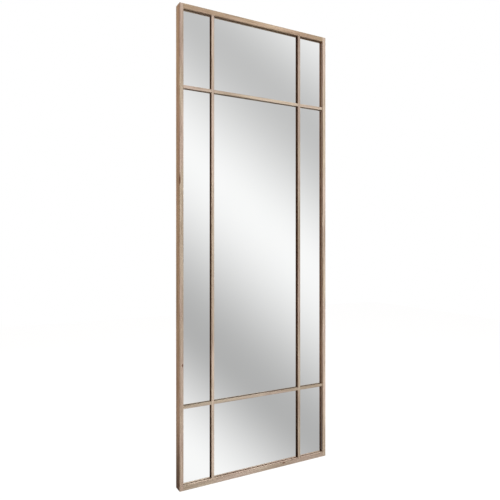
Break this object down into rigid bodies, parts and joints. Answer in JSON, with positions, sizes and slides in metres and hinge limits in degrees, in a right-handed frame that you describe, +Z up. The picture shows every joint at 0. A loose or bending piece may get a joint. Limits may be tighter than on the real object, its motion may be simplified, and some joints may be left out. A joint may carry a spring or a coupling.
{
  "type": "wall mirror",
  "caption": "Tall wall mirror in a slim oak frame, with thin bars that divide the sheet of mirror glass into window panes, and swinging ring hangers on the back.",
  "frame": {"origin": "middle of the width and depth, on the bottom edge of the frame", "axes": "+Z up the height, +Y from the front towards the wall, +X to the right seen from the front"},
  "size_m": [0.7, 0.042, 1.9],
  "materials": {
    "oak": "pale oak, fine sanded, matt clear oil",
    "beech": "plain turned beech",
    "mirror": "clear float glass, silvered and painted on its back",
    "foam": "white closed-cell foam tape",
    "fibreboard": "brown fibreboard, smooth face out",
    "pine": "planed pine, bare",
    "zinc_steel": "zinc plated",
    "spring_steel": "blued spring steel",
    "nickel_steel": "nickel plated",
    "rubber": "matt black rubber"
  },
  "bodies": {
    "mirror_body": {"left_stile": "oak", "right_stile": "oak", "top_rail": "oak", "bottom_rail": "oak", "left_upright_bar": "oak", "right_upright_bar": "oak", "upper_cross_bar": "oak", "lower_cross_bar": "oak", "frame_dowels": "beech", "mirror_glass": "mirror", "mirror_tape": "foam", "backing_board": "fibreboard", "left_batten": "pine", "right_batten": "pine", "bottom_batten": "pine", "top_batten": "pine", "middle_batten_1": "pine", "middle_batten_2": "pine", "board_screws": "zinc_steel", "hanger_screws": "zinc_steel", "retaining_tabs": "spring_steel", "left_hanger_strap": "nickel_steel", "right_hanger_strap": "nickel_steel", "wall_bumpers": "rubber"},
    "left_ring": {"left_hanger_ring": "nickel_steel"},
    "right_ring": {"right_hanger_ring": "nickel_steel"}
  },
  "joints": [
    {"name": "left_ring_swing", "type": "hinge", "parent": "mirror_body", "child": "left_ring", "pos_m": [-0.319, 0.016, 1.6], "axis": [1, 0, 0], "range_deg": [0, 180]},
    {"name": "right_ring_swing", "type": "hinge", "parent": "mirror_body", "child": "right_ring", "pos_m": [0.319, 0.016, 1.6], "axis": [1, 0, 0], "range_deg": [0, 180]}
  ]
}
